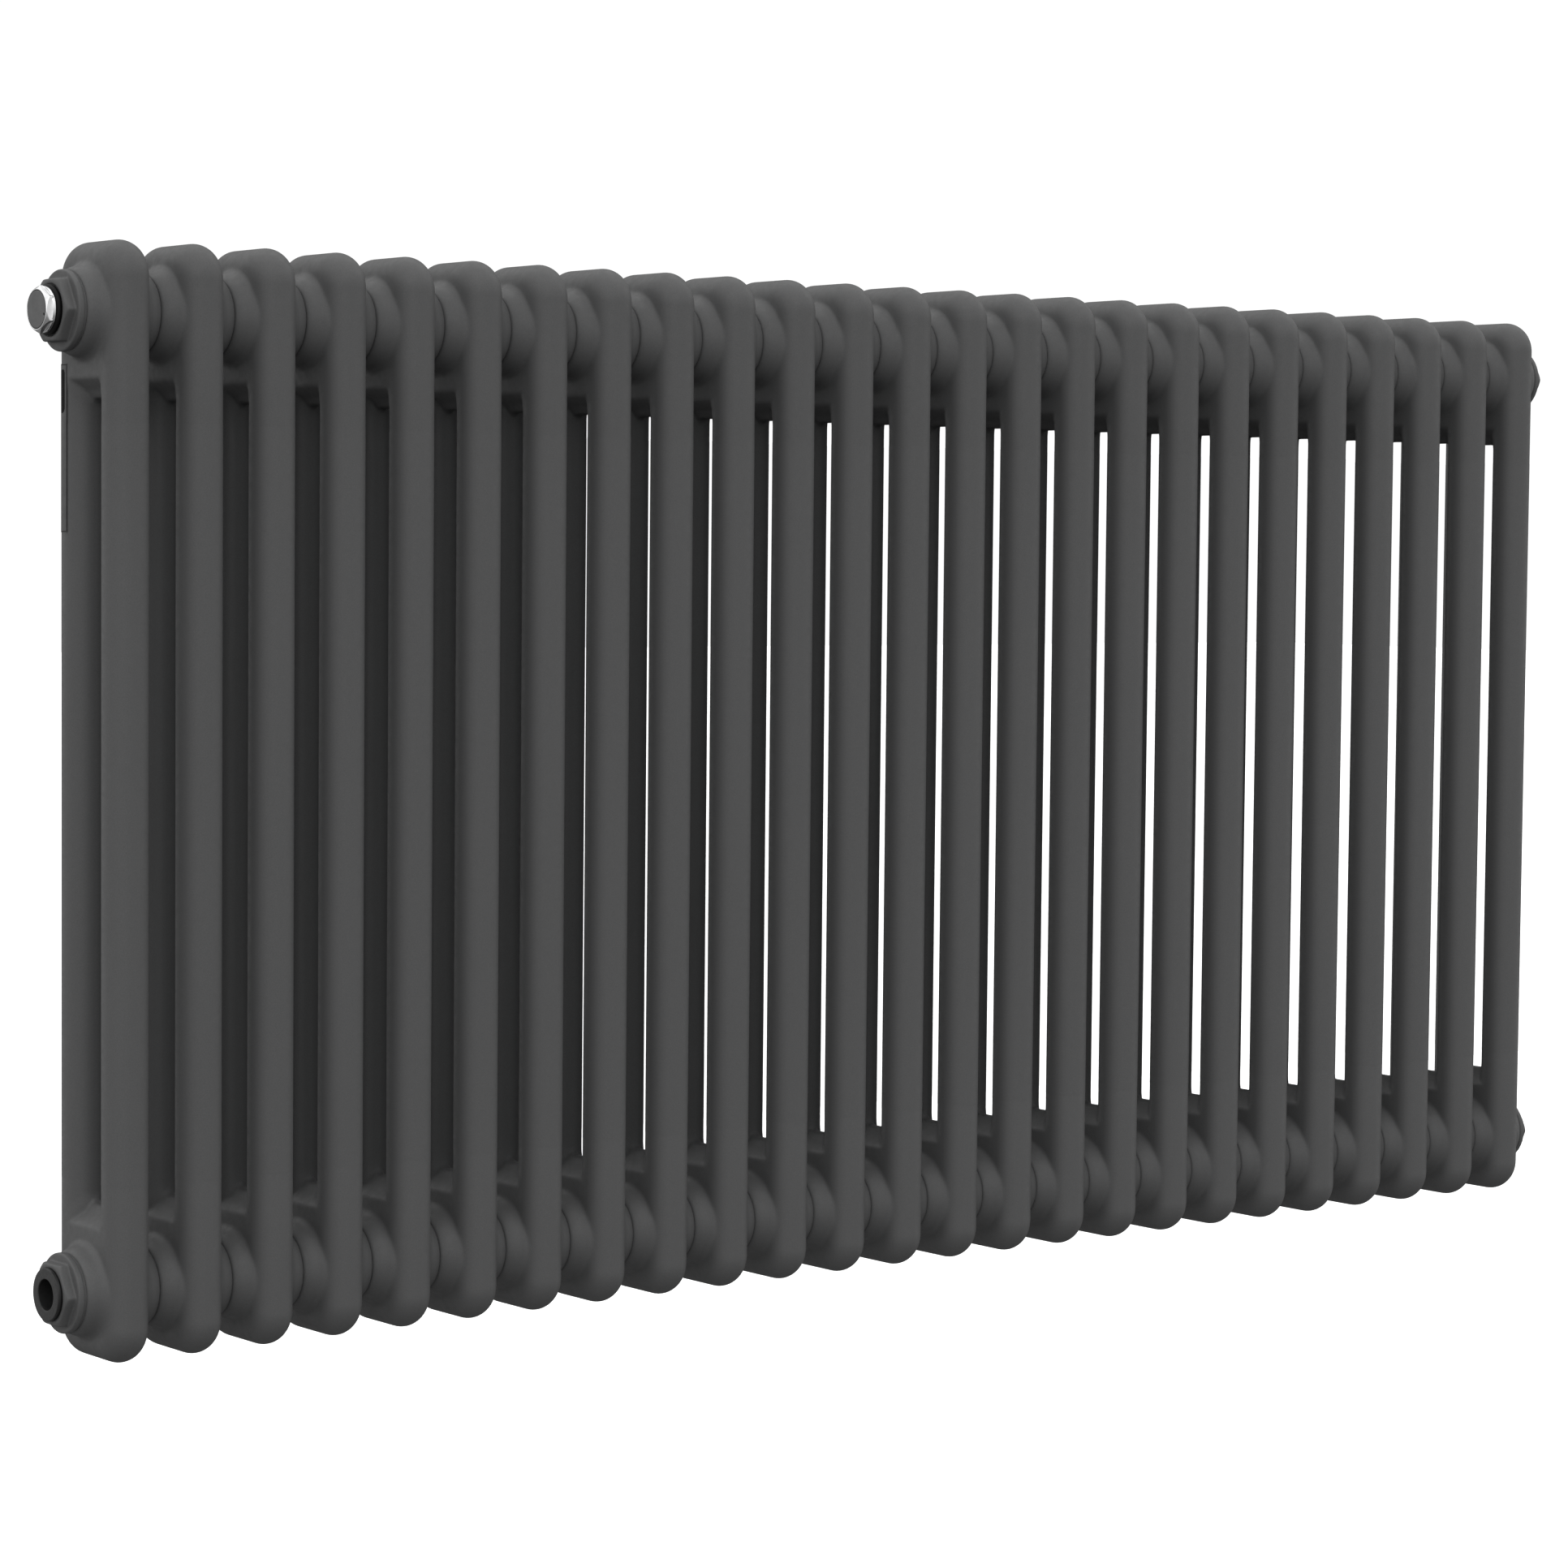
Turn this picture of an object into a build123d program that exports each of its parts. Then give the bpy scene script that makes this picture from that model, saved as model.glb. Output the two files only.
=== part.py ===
from build123d import *
import math
import os

# Two-column tubular steel radiator with an air-vent valve.
#
# Frame: X along the row of sections, Y from the room (-Y) to the wall (+Y), Z up.
# Origin: middle of the row of sections, halfway between the two columns, at the foot of the heads.

# ---- Driving dimensions, millimetres ------------------------------------------------------------
SECTIONS = 25
PITCH = 45.0             # section to section, along X
HEIGHT = 600.0           # foot to top of a section
COLUMN_SPACING = 44.0    # front tube axis to rear tube axis, along Y
TUBE_R = 12.5
TUBE_WALL = 1.25
HEAD_WALL = 1.5
HEAD_LENGTH = 100.0      # end of a section to the weld between head and tube
CORNER_R = 20.0          # outer corner of a head, seen from the side
WEB_FLAT = 76.0          # end of a section to where the web starts to taper
WEB_END = 84.0           # end of a section to the edge of the web
WEB_EDGE_HALF = 3.2      # half the web's thickness at its edge

# Hubs: the bosses that join one section to the next
HUB_DEPTH = 38.0         # end of a section to the hub axis
HUB_BASE_R = 26.6
HUB_BODY_R = 24.8
HUB_SEAM_R = 20.6
HUB_BORE_R = 19.1
HUB_BASE_RISE = 1.2      # along X, from the head's side to the end of the base flare
HUB_SHOULDER_RISE = 3.5  # from the head's side to where the boss starts to turn in
HUB_BULGE = 0.95         # how far the boss's shoulder stands out of a straight taper

# End fittings, measured outwards from the face of the end hub
SOCKET_LENGTH = 13.0
SOCKET_GAP = 0.05
SOCKET_BORE_R = 16.62    # G1 thread, as a plain bore
BUSH_SHANK_R = 16.57
BUSH_SHANK_LENGTH = 12.0
GASKET_THICKNESS = 0.8
GASKET_OUTER_R = 21.1
GASKET_INNER_R = 17.0
FLANGE_R = 21.8
FLANGE_END = 4.7
HEX_ACROSS_FLATS = 33.0
HEX_END = 10.7
HEX_FACE_R = 16.3        # where the hexagon's corner chamfer meets its end face
CHAMFER_SLOPE = 0.6      # chamfer length along the axis for each millimetre of radius
FLANGE_CHAMFER = 0.8
THREAD_R = 9.3           # G1/2 thread, as a plain bore of its minor diameter
THREAD_END = 0.5
LEAD_IN_R = 10.6         # smooth bore outside the thread
SEAL_RECESS_R = 13.9
SEAL_RECESS_DEPTH = 1.2

# Air vent
VENT_INNER_END = -6.0
VENT_HEAD_START = 13.0
VENT_FACE = 18.3
VENT_ACROSS_FLATS = 22.2
VENT_FACE_R = 10.7
VENT_COLLAR_R = 12.4
VENT_COLLAR_END = 14.3
VENT_SHANK_R = 9.25
O_RING_R = 11.8
O_RING_CORD_R = 1.7
KNOB_R = 10.0
KNOB_CHAMFER = 0.3
KNOB_POCKET_R = 10.3
KNOB_THICKNESS = 2.2
KNOB_POCKET_DEPTH = 2.4
SCREW_R = 3.0
SCREW_BORE_R = 3.06
SEAT_HOLE_R = 1.5
PAD_R = 2.7
PAD_THICKNESS = 2.0
AIR_GROOVE_R = 0.8
OUTLET_R = 0.7
OUTLET_OFFSET = 8.7
OUTLET_ANGLE = 200.0     # degrees, from +Y towards +Z

# Transit caps
CAP_FLANGE_R = 14.3
CAP_FACE = 13.1
CAP_SHANK_R = 10.54
CAP_SHANK_START = 1.0
CAP_BORE_R = 8.4
CAP_FLOOR = 2.4
CAP_NUB_R = 1.6
CAP_NUB_LENGTH = 2.5
CAP_EDGE = 0.8

# Blank label on the first section's rear tube
LABEL_THICKNESS = 0.2
LABEL_GAP = 0.01
LABEL_START_ANGLE = 102.0    # degrees from +X, round the tube to 180 degrees
LABEL_FLAT = 3.0             # straight tail along the tangent, over the web's flat side
LABEL_BOTTOM = 445.0
LABEL_HEIGHT = 90.0

# ---- Derived sizes --------------------------------------------------------------------------------
HALF_DEPTH = COLUMN_SPACING / 2
HALF_PITCH = PITCH / 2
FLAT_HALF = HALF_DEPTH + TUBE_R - CORNER_R   # where the top's corners begin
CORNER_Z = HEIGHT - CORNER_R
HUB_TOP_Z = HEIGHT - HUB_DEPTH
HUB_BOTTOM_Z = HUB_DEPTH
END_HUB_X = SECTIONS * PITCH / 2             # face of the right-hand end hub


# ---- Heads and tubes ------------------------------------------------------------------------------
def rounded_edge_profile(inset):
    """Half a slab with a fully rounded edge, from the corner axis (local Y = 0) outwards."""
    half = TUBE_R - inset
    shoulder = CORNER_R - TUBE_R
    with BuildSketch() as profile:
        with BuildLine():
            Polyline((-half, shoulder), (-half, 0), (half, 0), (half, shoulder))
            ThreePointArc((half, shoulder), (0, shoulder + half), (-half, shoulder))
        make_face()
    return profile.sketch


def hub_profile(inset):
    """Half section of both bosses, in X (along the hub) and radius."""
    reach = HALF_PITCH
    seam_r = HUB_SEAM_R if inset == 0 else HUB_BORE_R
    body_r = HUB_BODY_R - inset
    base_r = HUB_BASE_R - inset
    side = TUBE_R + HUB_BASE_RISE
    shoulder = TUBE_R + HUB_SHOULDER_RISE
    bulge = ((shoulder + reach) / 2 + HUB_BULGE, (body_r + seam_r) / 2 + HUB_BULGE)
    with BuildSketch() as profile:
        with BuildLine():
            Polyline((-reach, seam_r), (-reach, 0), (reach, 0), (reach, seam_r))
            ThreePointArc((reach, seam_r), bulge, (shoulder, body_r))
            Polyline((shoulder, body_r), (side, base_r), (-side, base_r), (-shoulder, body_r))
            ThreePointArc((-shoulder, body_r), (-bulge[0], bulge[1]), (-reach, seam_r))
        make_face()
    return profile.sketch


def head_form(inset, leg_end):
    """A top head as a solid, each wall moved inwards by inset, with its legs down to leg_end."""
    half = TUBE_R - inset
    web_flat_z = HEIGHT - WEB_FLAT + inset
    web_end_z = HEIGHT - WEB_END + inset
    edge_half = WEB_EDGE_HALF - inset
    with BuildPart() as form:
        with BuildSketch(Plane.XY.offset(web_flat_z)):
            SlotCenterToCenter(COLUMN_SPACING, 2 * half, rotation=90)
        extrude(amount=CORNER_Z - web_flat_z)
        with BuildSketch(Plane.XZ.shift_origin((0, 0, CORNER_Z))):
            add(rounded_edge_profile(inset))
        extrude(amount=FLAT_HALF, both=True)
        for side in (1, -1):
            corner = Plane((0, side * FLAT_HALF, CORNER_Z), x_dir=(1, 0, 0), z_dir=(0, -1, 0))
            with BuildSketch(corner):
                add(rounded_edge_profile(inset))
            corner_axis = Axis((0, side * FLAT_HALF, CORNER_Z), (-side, 0, 0))
            revolve(axis=corner_axis, revolution_arc=90)
        with BuildSketch(Plane.XY.offset(leg_end)):
            with Locations((0, HALF_DEPTH), (0, -HALF_DEPTH)):
                Circle(half)
        extrude(amount=web_flat_z - leg_end)
        with BuildSketch(Plane.XZ):
            Polygon(
                (-half, web_flat_z),
                (half, web_flat_z),
                (edge_half, web_end_z),
                (-edge_half, web_end_z),
                align=None,
            )
        extrude(amount=HALF_DEPTH, both=True)
        with BuildSketch(Plane.XZ.shift_origin((0, 0, HUB_TOP_Z))):
            add(hub_profile(inset))
        revolve(axis=Axis((0, 0, HUB_TOP_Z), (1, 0, 0)))
    return form.part


def pressed_head():
    """One hollow top head, open at both hubs and at the foot of both legs."""
    leg_end = HEIGHT - HEAD_LENGTH
    inside = head_form(HEAD_WALL, leg_end - 1)
    with BuildPart() as head:
        add(head_form(0, leg_end))
        add(inside, mode=Mode.SUBTRACT)
        with Locations(Location((0, 0, HUB_TOP_Z), (0, 90, 0))):
            Cylinder(HUB_BORE_R, PITCH + 2, mode=Mode.SUBTRACT)
    return head.part


def column_tube(y):
    """One column tube, between the legs of the two heads."""
    with BuildPart() as tube:
        with BuildSketch(Plane.XY.offset(HEAD_LENGTH)):
            with Locations((0, y)):
                Circle(TUBE_R)
                Circle(TUBE_R - TUBE_WALL, mode=Mode.SUBTRACT)
        extrude(amount=HEIGHT - 2 * HEAD_LENGTH)
    return tube.part


# ---- End fittings ---------------------------------------------------------------------------------
# Each is laid out along its hub's axis: local X runs outwards from the end hub's face.
def axial_plane(side, z):
    """Plane through a hub's axis; local X points outwards and local Y points up."""
    return Plane((side * END_HUB_X, 0, z), x_dir=(side, 0, 0), z_dir=(0, -side, 0))


def cross_plane(side, z, outwards):
    """Plane across a hub's axis, facing outwards; local X points to the wall (+Y)."""
    return Plane((side * (END_HUB_X + outwards), 0, z), x_dir=(0, 1, 0), z_dir=(side, 0, 0))


def hub_axis(side, z):
    """Axis of an end hub, pointing outwards."""
    return Axis((side * END_HUB_X, 0, z), (side, 0, 0))


def hexagon(side, z, start, end, across_flats, face_r, slope, rotation):
    """Hexagonal prism whose outer corners are turned down to face_r at its end."""
    corner_r = across_flats / math.sqrt(3)
    turned = (corner_r - face_r) * slope
    with BuildPart() as prism:
        with BuildSketch(cross_plane(side, z, start)):
            RegularPolygon(corner_r, 6, rotation=rotation)
        extrude(amount=end - start)
        with BuildSketch(axial_plane(side, z)):
            Polygon(
                (start, 0),
                (end, 0),
                (end, face_r),
                (end - turned, corner_r),
                (start, corner_r),
                align=None,
            )
        revolve(axis=hub_axis(side, z), mode=Mode.INTERSECT)
    return prism.part


def turned_profile(*points):
    """Half section of a turned piece, from its axis out, as (outwards, radius) points."""
    with BuildSketch() as profile:
        with BuildLine():
            Polyline((points[0][0], 0), *points, (points[-1][0], 0), close=True)
        make_face()
    return profile.sketch


def hexagon_fitting(side, z):
    """Flange, hexagon and shank of a bush or plug, without its bore."""
    edge = FLANGE_CHAMFER
    with BuildPart() as fitting:
        with BuildSketch(axial_plane(side, z)):
            add(
                turned_profile(
                    (-BUSH_SHANK_LENGTH, BUSH_SHANK_R - edge),
                    (edge - BUSH_SHANK_LENGTH, BUSH_SHANK_R),
                    (GASKET_THICKNESS, BUSH_SHANK_R),
                    (GASKET_THICKNESS, FLANGE_R - edge / 2),
                    (GASKET_THICKNESS + edge / 2, FLANGE_R),
                    (FLANGE_END - edge, FLANGE_R),
                    (FLANGE_END, FLANGE_R - edge),
                )
            )
        revolve(axis=hub_axis(side, z))
        add(
            hexagon(
                side, z, FLANGE_END, HEX_END, HEX_ACROSS_FLATS, HEX_FACE_R, CHAMFER_SLOPE, 0
            )
        )
    return fitting.part


def bush(side, z):
    """Reducing bush: lead-in bore, inner thread and a recess for a seal in its end face."""
    with BuildPart() as body:
        add(hexagon_fitting(side, z))
        with BuildSketch(axial_plane(side, z)):
            add(
                turned_profile(
                    (-BUSH_SHANK_LENGTH - 1, THREAD_R),
                    (THREAD_END, THREAD_R),
                    (THREAD_END, LEAD_IN_R),
                    (HEX_END - SEAL_RECESS_DEPTH, LEAD_IN_R),
                    (HEX_END - SEAL_RECESS_DEPTH, SEAL_RECESS_R),
                    (HEX_END + 1, SEAL_RECESS_R),
                )
            )
        revolve(axis=hub_axis(side, z), mode=Mode.SUBTRACT)
    return body.part


def ring(side, z, start, end, inner_r, outer_r):
    """Plain ring around a hub's axis."""
    with BuildPart() as body:
        with BuildSketch(cross_plane(side, z, start)):
            Circle(outer_r)
            Circle(inner_r, mode=Mode.SUBTRACT)
        extrude(amount=end - start)
    return body.part


def seat_pad(side, z):
    """Soft disc on the tip of the bleed screw."""
    with BuildPart() as pad:
        with BuildSketch(cross_plane(side, z, 0)):
            Circle(PAD_R)
        extrude(amount=PAD_THICKNESS)
    return pad.part


def transit_cap(side, z):
    """Flanged push-in plug with a deep blind recess and a small nub on the recess's floor."""
    floor = CAP_SHANK_START + CAP_FLOOR
    with BuildPart() as cap:
        with BuildSketch(axial_plane(side, z)):
            add(
                turned_profile(
                    (CAP_SHANK_START, CAP_SHANK_R - CAP_EDGE),
                    (CAP_SHANK_START + CAP_EDGE, CAP_SHANK_R),
                    (HEX_END, CAP_SHANK_R),
                    (HEX_END, CAP_FLANGE_R - CAP_EDGE / 2),
                    (HEX_END + CAP_EDGE / 2, CAP_FLANGE_R),
                    (CAP_FACE - CAP_EDGE, CAP_FLANGE_R),
                    (CAP_FACE, CAP_FLANGE_R - CAP_EDGE),
                    (CAP_FACE, CAP_BORE_R),
                    (floor, CAP_BORE_R),
                    (floor, CAP_NUB_R),
                    (floor + CAP_NUB_LENGTH, CAP_NUB_R),
                )
            )
        revolve(axis=hub_axis(side, z))
    return cap.part


def vent_body(side, z):
    """Air vent: shank, collar and hexagon, with a pocket, a screw bore and a seat."""
    pocket_floor = VENT_FACE - KNOB_POCKET_DEPTH
    with BuildPart() as body:
        with BuildSketch(axial_plane(side, z)):
            add(
                turned_profile(
                    (VENT_INNER_END, VENT_SHANK_R),
                    (VENT_HEAD_START, VENT_SHANK_R),
                    (VENT_HEAD_START, VENT_COLLAR_R),
                    (VENT_COLLAR_END, VENT_COLLAR_R),
                )
            )
        revolve(axis=hub_axis(side, z))
        add(
            hexagon(
                side, z, VENT_COLLAR_END, VENT_FACE, VENT_ACROSS_FLATS, VENT_FACE_R, 1.0, 30
            )
        )
        with BuildSketch(axial_plane(side, z)):
            add(
                turned_profile(
                    (VENT_INNER_END - 1, SEAT_HOLE_R),
                    (0, SEAT_HOLE_R),
                    (0, SCREW_BORE_R),
                    (pocket_floor, SCREW_BORE_R),
                    (pocket_floor, KNOB_POCKET_R),
                    (VENT_FACE + 1, KNOB_POCKET_R),
                )
            )
        revolve(axis=hub_axis(side, z), mode=Mode.SUBTRACT)
        with BuildSketch(cross_plane(side, z, PAD_THICKNESS / 2)):
            with Locations((0, SCREW_BORE_R)):
                Circle(AIR_GROOVE_R)
        extrude(amount=pocket_floor - PAD_THICKNESS / 2 + 1, mode=Mode.SUBTRACT)
    return body.part


def bleed_screw(side, z):
    """Round face and threaded stem, with the outlet hole near the face's rim."""
    start = VENT_FACE - KNOB_THICKNESS
    with BuildPart() as screw:
        with BuildSketch(axial_plane(side, z)):
            add(
                turned_profile(
                    (PAD_THICKNESS, SCREW_R),
                    (start, SCREW_R),
                    (start, KNOB_R),
                    (VENT_FACE - KNOB_CHAMFER, KNOB_R),
                    (VENT_FACE, KNOB_R - KNOB_CHAMFER),
                )
            )
        revolve(axis=hub_axis(side, z))
        with BuildSketch(cross_plane(side, z, start)):
            with PolarLocations(OUTLET_OFFSET, 1, start_angle=OUTLET_ANGLE):
                Circle(OUTLET_R)
        extrude(amount=KNOB_THICKNESS, mode=Mode.SUBTRACT)
    return screw.part


def o_ring(side, z):
    """Seal squeezed between the vent's collar and the recess in its bush."""
    centre = HEX_END - SEAL_RECESS_DEPTH + O_RING_CORD_R
    with BuildPart() as seal:
        with BuildSketch(axial_plane(side, z)):
            with Locations((centre, O_RING_R)):
                Circle(O_RING_CORD_R)
        revolve(axis=hub_axis(side, z))
    return seal.part


def blank_label():
    """Thin sticker wrapped around the left side of the first section's rear tube."""
    sweep = 180 - LABEL_START_ANGLE
    inner_r = TUBE_R + LABEL_GAP
    outer_r = inner_r + LABEL_THICKNESS
    with BuildPart() as label:
        with BuildSketch(Plane((section_x(1), HALF_DEPTH, LABEL_BOTTOM))):
            with BuildLine():
                inner = CenterArc((0, 0), inner_r, LABEL_START_ANGLE, sweep)
                outer = CenterArc((0, 0), outer_r, LABEL_START_ANGLE, sweep)
                Line(inner @ 0, outer @ 0)
                Polyline(inner @ 1, (-inner_r, -LABEL_FLAT), (-outer_r, -LABEL_FLAT), outer @ 1)
            make_face()
        extrude(amount=LABEL_HEIGHT)
    return label.part


# ---- Assembly -------------------------------------------------------------------------------------
def section_x(number):
    """X of a section's mid-plane; sections are numbered from 1 at the left."""
    return (number - (SECTIONS + 1) / 2) * PITCH


def write(name, pieces):
    """Write one node, which holds one solid or several separate ones."""
    if len(pieces) == 1:
        node = pieces[0]
        node.label = name
    else:
        node = Compound(label=name, children=pieces)
    export_step(node, f"parts/{name}.step")


def section_pieces(number):
    """The four welded pieces of one section, moved to its place in the row."""
    shift = Pos(section_x(number), 0, 0)
    pieces = []
    for label, shape in SECTION_SHAPES.items():
        piece = shift * shape
        piece.label = label
        pieces.append(piece)
    return pieces


os.makedirs("parts", exist_ok=True)

top_head = pressed_head()
SECTION_SHAPES = {
    "top_head": top_head,
    "bottom_head": mirror(top_head, about=Plane.XY.offset(HEIGHT / 2)),
    "front_tube": column_tube(-HALF_DEPTH),
    "rear_tube": column_tube(HALF_DEPTH),
}
for number in range(1, SECTIONS + 1):
    write(f"section_{number:02d}", section_pieces(number))

LEFT, RIGHT = -1, 1
END_HUBS = [(LEFT, HUB_TOP_Z), (RIGHT, HUB_TOP_Z), (LEFT, HUB_BOTTOM_Z), (RIGHT, HUB_BOTTOM_Z)]
write(
    "hub_sockets",
    [ring(*hub, -SOCKET_LENGTH, 0, SOCKET_BORE_R, HUB_BORE_R - SOCKET_GAP) for hub in END_HUBS],
)
write(
    "bush_gaskets",
    [ring(*hub, 0, GASKET_THICKNESS, GASKET_INNER_R, GASKET_OUTER_R) for hub in END_HUBS],
)
write("vent_bush", [bush(LEFT, HUB_TOP_Z)])
write("blanking_plug", [hexagon_fitting(RIGHT, HUB_TOP_Z)])
write("vent_body", [vent_body(LEFT, HUB_TOP_Z)])
write("vent_o_ring", [o_ring(LEFT, HUB_TOP_Z)])
write("bleed_screw", [bleed_screw(LEFT, HUB_TOP_Z)])
write("bleed_seat_pad", [seat_pad(LEFT, HUB_TOP_Z)])
for side, place in ((LEFT, "left"), (RIGHT, "right")):
    write(f"inlet_bush_{place}", [bush(side, HUB_BOTTOM_Z)])
    write(f"transit_cap_{place}", [transit_cap(side, HUB_BOTTOM_Z)])
write("blank_label", [blank_label()])
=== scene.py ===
import math

import bmesh
import bpy
import numpy as np
from mathutils import Matrix, Vector


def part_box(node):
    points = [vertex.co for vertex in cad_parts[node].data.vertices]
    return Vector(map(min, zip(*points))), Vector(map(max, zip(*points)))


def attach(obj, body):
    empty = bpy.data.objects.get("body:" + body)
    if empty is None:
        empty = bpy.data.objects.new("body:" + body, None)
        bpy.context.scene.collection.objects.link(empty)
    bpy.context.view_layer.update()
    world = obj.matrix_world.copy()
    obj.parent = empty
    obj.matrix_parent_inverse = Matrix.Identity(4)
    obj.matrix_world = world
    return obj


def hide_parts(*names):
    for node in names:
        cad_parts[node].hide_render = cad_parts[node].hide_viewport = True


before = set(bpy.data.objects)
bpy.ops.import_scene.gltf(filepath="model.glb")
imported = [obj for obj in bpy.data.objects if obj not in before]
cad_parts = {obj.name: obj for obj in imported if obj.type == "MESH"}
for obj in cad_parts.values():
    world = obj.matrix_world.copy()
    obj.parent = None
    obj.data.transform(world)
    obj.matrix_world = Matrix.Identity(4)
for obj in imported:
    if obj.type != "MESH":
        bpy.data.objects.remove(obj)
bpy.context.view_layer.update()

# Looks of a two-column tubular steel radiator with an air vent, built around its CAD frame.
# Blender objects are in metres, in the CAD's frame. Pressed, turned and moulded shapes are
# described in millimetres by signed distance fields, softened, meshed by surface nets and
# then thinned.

MM = 0.001


# ---- Sizes taken from the frame, in millimetres ---------------------------------------------
def node_box(node):
    """Lowest and highest corner of a CAD node, in millimetres."""
    low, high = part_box(node)
    return np.array(low) / MM, np.array(high) / MM


SECTIONS = [name for name in sorted(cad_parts) if name.startswith("section_")]
first_low, first_high = node_box(SECTIONS[0])
PITCH = first_high[0] - first_low[0]
HEIGHT = first_high[2]
HALF_DEPTH = (first_high[1] - first_low[1]) / 2
END_HUB_X = node_box(SECTIONS[-1])[1][0]
bush_low, bush_high = node_box("vent_bush")
HUB_TOP_Z = (bush_low[2] + bush_high[2]) / 2
HUB_DEPTH = HEIGHT - HUB_TOP_Z


# ---- Sizes of the shapes, in millimetres ----------------------------------------------------
# Sections. Depths in a head are measured from the section's end.
TUBE_R = 12.5
PRESSED_R = 12.48          # heads: a hair under the tubes, which overlap their legs
COLUMN_Y = HALF_DEPTH - TUBE_R
CORNER_R = 20.0
HEAD_LENGTH = 100.0
LEG_OVERLAP = 3.0
WEB_TURN = 73.0            # depth where the web turns in
WEB_EDGE = 83.6            # depth of the web's pinched edge
WEB_EDGE_HALF = 3.0
WEB_STEP = 1.1             # first, steep turn: half thickness lost per millimetre
WEB_TAPER = 0.6            # then the taper to the pinched edge
WEB_FIELD_SCALE = 0.7      # brings the sloping web's field nearer to a true distance
LEG_SWELL = 0.1            # a leg's inner side swells this much per millimetre past its shoulder,
LEG_SWELL_RUN = 5.0        # towards the section's end, over this length at most
LEG_SHOULDER = 78.0        # depth of the shoulder at the leg's crown
LEG_SHOULDER_RUN = 1.15    # how fast the shoulder deepens towards the web
LEG_CROWN = 2.0            # width of the crown, from the leg's axis
SLOT_CORNER_R = 5.0
HUB_BODY_R = 24.7
HUB_SEAM_R = 21.0
HUB_END_R = 21.9
HUB_FLARE = 2.2            # fillet between boss and head
HUB_FLARE_RISE = 3.5
HUB_FIELD_SCALE = 0.85     # brings the curved boss's field nearer to a true distance
HUB_POCKET_R = 19.1        # the open end hub, seen through a bush
HUB_POCKET_DEPTH = 40.0

# End fittings. Their lengths are measured outwards from the end hub's face.
JOIN = 1.0                 # turned parts of one fitting run this far into each other
CUT_PAST = 5.0             # and cuts run this far past the face that they open
BUSH_SHANK_R = 16.5
BUSH_SHANK_LENGTH = 12.0
GASKET = 0.8
GASKET_OVERLAP = 0.6       # hidden in the hub and the flange, so that softening opens no gap
GASKET_R = 21.3
GASKET_BORE_R = 17.0
FLANGE_R = 21.8
FLANGE_END = 4.7
HEX_FLATS = 33.0
HEX_END = 10.7
HEX_FACE_R = 16.6
HEX_CHAMFER_SLOPE = 0.6
SEAL_RECESS_R = 13.9
SEAL_RECESS_DEPTH = 1.2
LEAD_IN_R = 10.6
THREAD_R = 9.3
THREAD_END = 0.5

VENT_SHANK_R = 9.2
VENT_SHANK_START = -6.0
VENT_HEAD_START = 13.0
VENT_COLLAR_R = 12.4
VENT_COLLAR_END = 14.3
VENT_FACE = 18.3
VENT_FLATS = 22.2
VENT_FACE_R = 10.75
VENT_CHAMFER_SLOPE = 1.0
KNOB_POCKET_R = 10.3
KNOB_POCKET_DEPTH = 2.4
KNOB_R = 10.0
KNOB_THICKNESS = 2.2
SCREW_R = 3.0
SCREW_START = 2.0
SCREW_BORE_R = 3.3
SCREW_BORE_START = -0.5
OUTLET_R = 0.7
OUTLET_OFFSET = 8.7
OUTLET_ANGLE = math.radians(200)
O_RING_R = 11.8
O_RING_CORD_R = 1.7

CAP_FLANGE_R = 14.3
CAP_FACE = 13.1
CAP_SHANK_R = 10.5
CAP_SHANK_START = 1.0
CAP_SEAT_GAP = 0.05        # keeps the flange off the bush
CAP_BORE_R = 8.4
CAP_FLOOR = 3.4
CAP_NUB_R = 1.6
CAP_NUB_END = 5.9

# The label: a film round the rear tube, ending in a straight tail.
LABEL_GAP = 0.05
LABEL_THICKNESS = 0.15
LABEL_START_ANGLE = math.radians(102)
LABEL_TAIL = 3.0
LABEL_BORDER = (0.3, 0.7)  # dark line near the rim, measured from the label's rim
LABEL_GRID = 0.45
PANEL_ACROSS = (3.0, 2.3)  # printed panel, from the label's first and last edge
PANEL_UP = (26.0, 2.8)     # and both measured down from its top
PANEL_CORNER = 1.6

# Looks: the coat's grey, and how finely each kind of shape is meshed.
COAT = 0.060
HEAD_MESH = {"step": 1.0, "soften": 0.8, "keep": 0.25}
BUSH_MESH = {"step": 0.4, "soften": 0.55, "keep": 0.14}
CAP_MESH = {"step": 0.3, "soften": 0.22, "keep": 0.2}
VENT_MESH = {"step": 0.2, "soften": 0.14, "keep": 0.25}
SCREW_MESH = {"step": 0.22, "soften": 0.13, "keep": 0.15}
SEAL_MESH = {"step": 0.3, "soften": 0.1, "keep": 0.2}
GASKET_MESH = {"step": 0.5, "soften": 0.3, "keep": 0.1}


# ---- Surface nets: a closed mesh from a signed distance field -------------------------------
SETTLING_PASSES = 3
LONGEST_MOVE = 0.5         # in cells, at each pass
LEAST_SLOPE_SQUARED = 1e-6
BLUR_REACH = 3             # in standard deviations


def blurred(values, sigma_cells):
    """The grid smoothed by a Gaussian, which rounds every edge and valley of the shape."""
    reach = max(1, int(math.ceil(BLUR_REACH * sigma_cells)))
    offsets = np.arange(-reach, reach + 1)
    weights = np.exp(-0.5 * (offsets / sigma_cells) ** 2)
    weights /= weights.sum()
    for axis in range(3):
        padding = [(0, 0)] * 3
        padding[axis] = (reach, reach)
        padded = np.pad(values, padding, mode="reflect", reflect_type="odd")
        length = values.shape[axis]
        values = sum(
            weight * np.take(padded, np.arange(shift, shift + length), axis=axis)
            for shift, weight in enumerate(weights)
        )
    return values


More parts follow.
